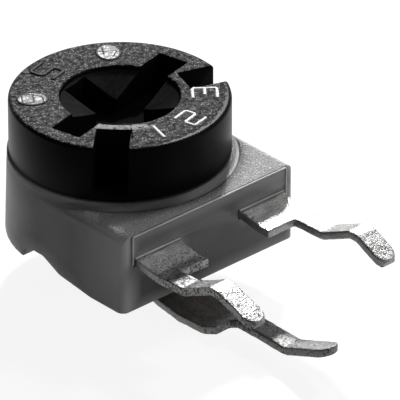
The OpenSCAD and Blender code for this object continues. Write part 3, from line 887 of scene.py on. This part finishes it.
def stroke_mesh(name, figures):
    """The figures' strokes as edges one unit high, with each figure's bearing in radians."""
    mesh = bpy.data.meshes.new(name)
    points, edges, bearings = [], [], []
    for figure, bearing in figures:
        for stroke in FIGURES[figure]:
            first = len(points)
            line = stroke[:-1] if stroke[0] == stroke[-1] else stroke
            points.extend((x, y - 0.5, 0) for x, y in line)
            edges.extend((first + i, first + (i + 1) % len(line)) for i in range(len(stroke) - 1))
            bearings.extend([math.radians(bearing + 90)] * len(line))
    mesh.from_pydata(points, edges, [])
    mesh.attributes.new("bearing", "FLOAT", "POINT").data.foreach_set("value", bearings)
    return mesh


class TRIM_OT_inner_pieces(bpy.types.Operator):
    """Gives the pieces inside the housing their finishes"""
    bl_idname = "trim.inner_pieces"
    bl_label = "Inner pieces"

    def execute(self, context):
        finishes = {
            ("contact_carrier",): plain_finish("carrier_plastic", (0.6, 0.57, 0.5)),
            ("contact_spring",): plain_finish("spring_bronze", (0.72, 0.5, 0.26), 1.0,
                                              (0.2, 0.35)),
            ("laminate", "base_plate"): plain_finish("laminate_board", (0.3, 0.17, 0.08),
                                                     size=0.2),
            ("carbon_track",): plain_finish("carbon_print", (0.03, 0.03, 0.03), size=0.05),
            ("near_electrode", "far_electrode"): plain_finish("silver_print",
                                                              (0.7, 0.7, 0.68), 1.0),
            ("near_eyelet", "far_eyelet"): plain_finish("eyelet_metal", (0.7, 0.66, 0.55), 1.0,
                                                        (0.2, 0.35)),
        }
        for nodes, material in finishes.items():
            for node in nodes:
                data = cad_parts[node].data
                data.materials.clear()
                data.materials.append(material)
        return {"FINISHED"}


# Each lamp's name, degrees round and up, distance and width in metres, and power in watts
SOFTBOXES = (
    ("key_softbox", 41.0, 39.0, 0.25, 0.024, 0.72),
    ("back_softbox", 44.0, 30.0, 0.3, 0.1, 0.13),
    ("side_softbox", 3.0, 54.0, 0.25, 0.04, 0.09),
    ("left_softbox", 190.0, 45.0, 0.3, 0.2, 0.03),
    ("front_softbox", 300.0, 12.0, 0.3, 0.2, 0.14),
)
# Where the camera stands, how far off it is, and the width that it sees
CAMERA_AROUND, CAMERA_DOWN = math.radians(47.55), math.radians(30.04)
CAMERA_DISTANCE, SEEN_WIDTH = 240 * MM, 400 / 34.78 * MM
# Centre of the view, right of the rotor's axis and over the underside
VIEW_RIGHT, VIEW_UP = 2.282 * MM, 0.757 * MM
FLOOR_HALF = 0.6


class TRIM_OT_stage(bpy.types.Operator):
    """Sets the floor, the soft lights and the camera"""
    bl_idname = "trim.stage"
    bl_label = "Stage"

    def execute(self, context):
        self.floor()
        self.lights(context.scene)
        self.camera(context.scene)
        context.scene.view_settings.view_transform = "Standard"
        return {"FINISHED"}

    def floor(self):
        """White paper, clear from below. Shiny faces mirror it mostly from behind the part."""
        half, level = FLOOR_HALF, CAD_BOX[0][2]
        bm = bmesh.new()
        corners = [(-half, -half), (half, -half), (half, half), (-half, half)]
        bm.faces.new([bm.verts.new((x, y, level)) for x, y in corners])
        floor = from_bmesh("floor", bm)
        material, tree, bsdf = shader("floor_paper")
        bsdf.inputs["Base Color"].default_value = (0.22, 0.22, 0.22, 1)
        bsdf.inputs["Roughness"].default_value = 0.9
        bsdf.inputs["Specular IOR Level"].default_value = 0.0
        path = add(tree, "ShaderNodeLightPath")
        away = add(tree, "ShaderNodeVectorMath", {
            0: object_coords(tree), 1: (0.675, 0.738, 0)}, operation="DOT_PRODUCT")
        mirrored = arithmetic(tree, "MULTIPLY", path.outputs["Is Glossy Ray"], spread(
            tree, away.outputs["Value"], -12 * MM, 3 * MM, 0.05, 1.0))
        paper = add(tree, "ShaderNodeEmission", {"Color": (1, 1, 1, 1), "Strength": blend(
            tree, path.outputs["Is Camera Ray"], mirrored, 0.88)})
        sheet = add(tree, "ShaderNodeAddShader", {0: bsdf.outputs[0], 1: paper.outputs[0]})
        one_sided = add(tree, "ShaderNodeMixShader", {
            0: add(tree, "ShaderNodeNewGeometry").outputs["Backfacing"], 1: sheet.outputs[0],
            2: add(tree, "ShaderNodeBsdfTransparent").outputs[0]})
        tree.links.new(one_sided.outputs[0], tree.nodes["Material Output"].inputs["Surface"])
        floor.data.materials.append(material)

    def lights(self, scene):
        """A dim surround, white to the camera, and the soft lamps."""
        world = bpy.data.worlds.new("studio")
        world.use_nodes = True
        scene.world = world
        tree = world.node_tree
        background = tree.nodes["Background"]
        background.inputs["Color"].default_value = (1, 1, 1, 1)
        around = math.radians(-15.0)
        way = add(tree, "ShaderNodeTexCoord").outputs["Generated"]
        depth = add(tree, "ShaderNodeVectorMath", {
            0: way, 1: (math.cos(around), math.sin(around), 0)}, operation="DOT_PRODUCT")
        parts = add(tree, "ShaderNodeSeparateXYZ", {"Vector": way})
        strength = arithmetic(tree, "MULTIPLY",
                              spread(tree, depth.outputs["Value"], -0.3, 0.8, 0.05, 0.42),
                              spread(tree, parts.outputs["Z"], 0.1, 0.9, 1.0, 0.4))
        tree.links.new(blend(tree, add(tree, "ShaderNodeLightPath").outputs["Is Camera Ray"],
                             strength, 1.0), background.inputs["Strength"])
        for name, around, height, distance, size, power in SOFTBOXES:
            lamp = bpy.data.lights.new(name, "AREA")
            lamp.shape = "DISK"
            lamp.size = size
            lamp.energy = power
            obj = bpy.data.objects.new(name, lamp)
            scene.collection.objects.link(obj)
            a, e = math.radians(around), math.radians(height)
            way = Vector((math.cos(a) * math.cos(e), math.sin(a) * math.cos(e), math.sin(e)))
            obj.location = way * distance
            obj.rotation_euler = way.to_track_quat("Z", "Y").to_euler()

    def camera(self, scene):
        """A long lens at the photo's angle."""
        around, down = CAMERA_AROUND, CAMERA_DOWN
        underside = Vector((0, 0, HOUSING_LOW.z * MM))
        away = Vector((math.cos(around) * math.cos(down), math.sin(around) * math.cos(down),
                       -math.sin(down)))
        right = Vector((math.sin(around), -math.cos(around), 0))
        up = right.cross(away)
        data = bpy.data.cameras.new("camera")
        data.sensor_width = 36
        data.sensor_fit = "HORIZONTAL"
        data.lens = data.sensor_width * CAMERA_DISTANCE / SEEN_WIDTH
        data.clip_start, data.clip_end = 0.01, 10
        camera = bpy.data.objects.new("camera", data)
        scene.collection.objects.link(camera)
        camera.location = (underside + right * VIEW_RIGHT + up * VIEW_UP
                           - away * CAMERA_DISTANCE)
        camera.rotation_euler = away.to_track_quat("-Z", "Y").to_euler()
        scene.camera = camera


class TRIM_PT_panel(bpy.types.Panel):
    """Sidebar list of the trimmer's pieces"""
    bl_idname = "TRIM_PT_panel"
    bl_label = "Trimmer"
    bl_space_type = "VIEW_3D"
    bl_region_type = "UI"
    bl_category = "Trimmer"

    def draw(self, context):
        for operator in OPERATORS:
            self.layout.operator(operator.bl_idname)


OPERATORS = (TRIM_OT_rotor, TRIM_OT_housing, TRIM_OT_terminals, TRIM_OT_numerals,
             TRIM_OT_inner_pieces, TRIM_OT_stage)
SETTINGS = {"trim_rotor": RotorSizes, "trim_housing": HousingSizes,
            "trim_terminals": TerminalSizes, "trim_numerals": NumeralSizes}
CLASSES = (*SETTINGS.values(), *OPERATORS, TRIM_PT_panel)


def register():
    """Registers the classes, and hangs the settings on the scene."""
    for cls in CLASSES:
        bpy.utils.register_class(cls)
    for name, settings in SETTINGS.items():
        setattr(bpy.types.Scene, name, bpy.props.PointerProperty(type=settings))


def unregister():
    """Takes back what register made."""
    for name in SETTINGS:
        delattr(bpy.types.Scene, name)
    for cls in reversed(CLASSES):
        bpy.utils.unregister_class(cls)


def main():
    register()
    bpy.ops.trim.rotor()
    bpy.ops.trim.housing()
    bpy.ops.trim.terminals()
    bpy.ops.trim.numerals()
    bpy.ops.trim.inner_pieces()
    bpy.ops.trim.stage()


if __name__ == "__main__":
    main()
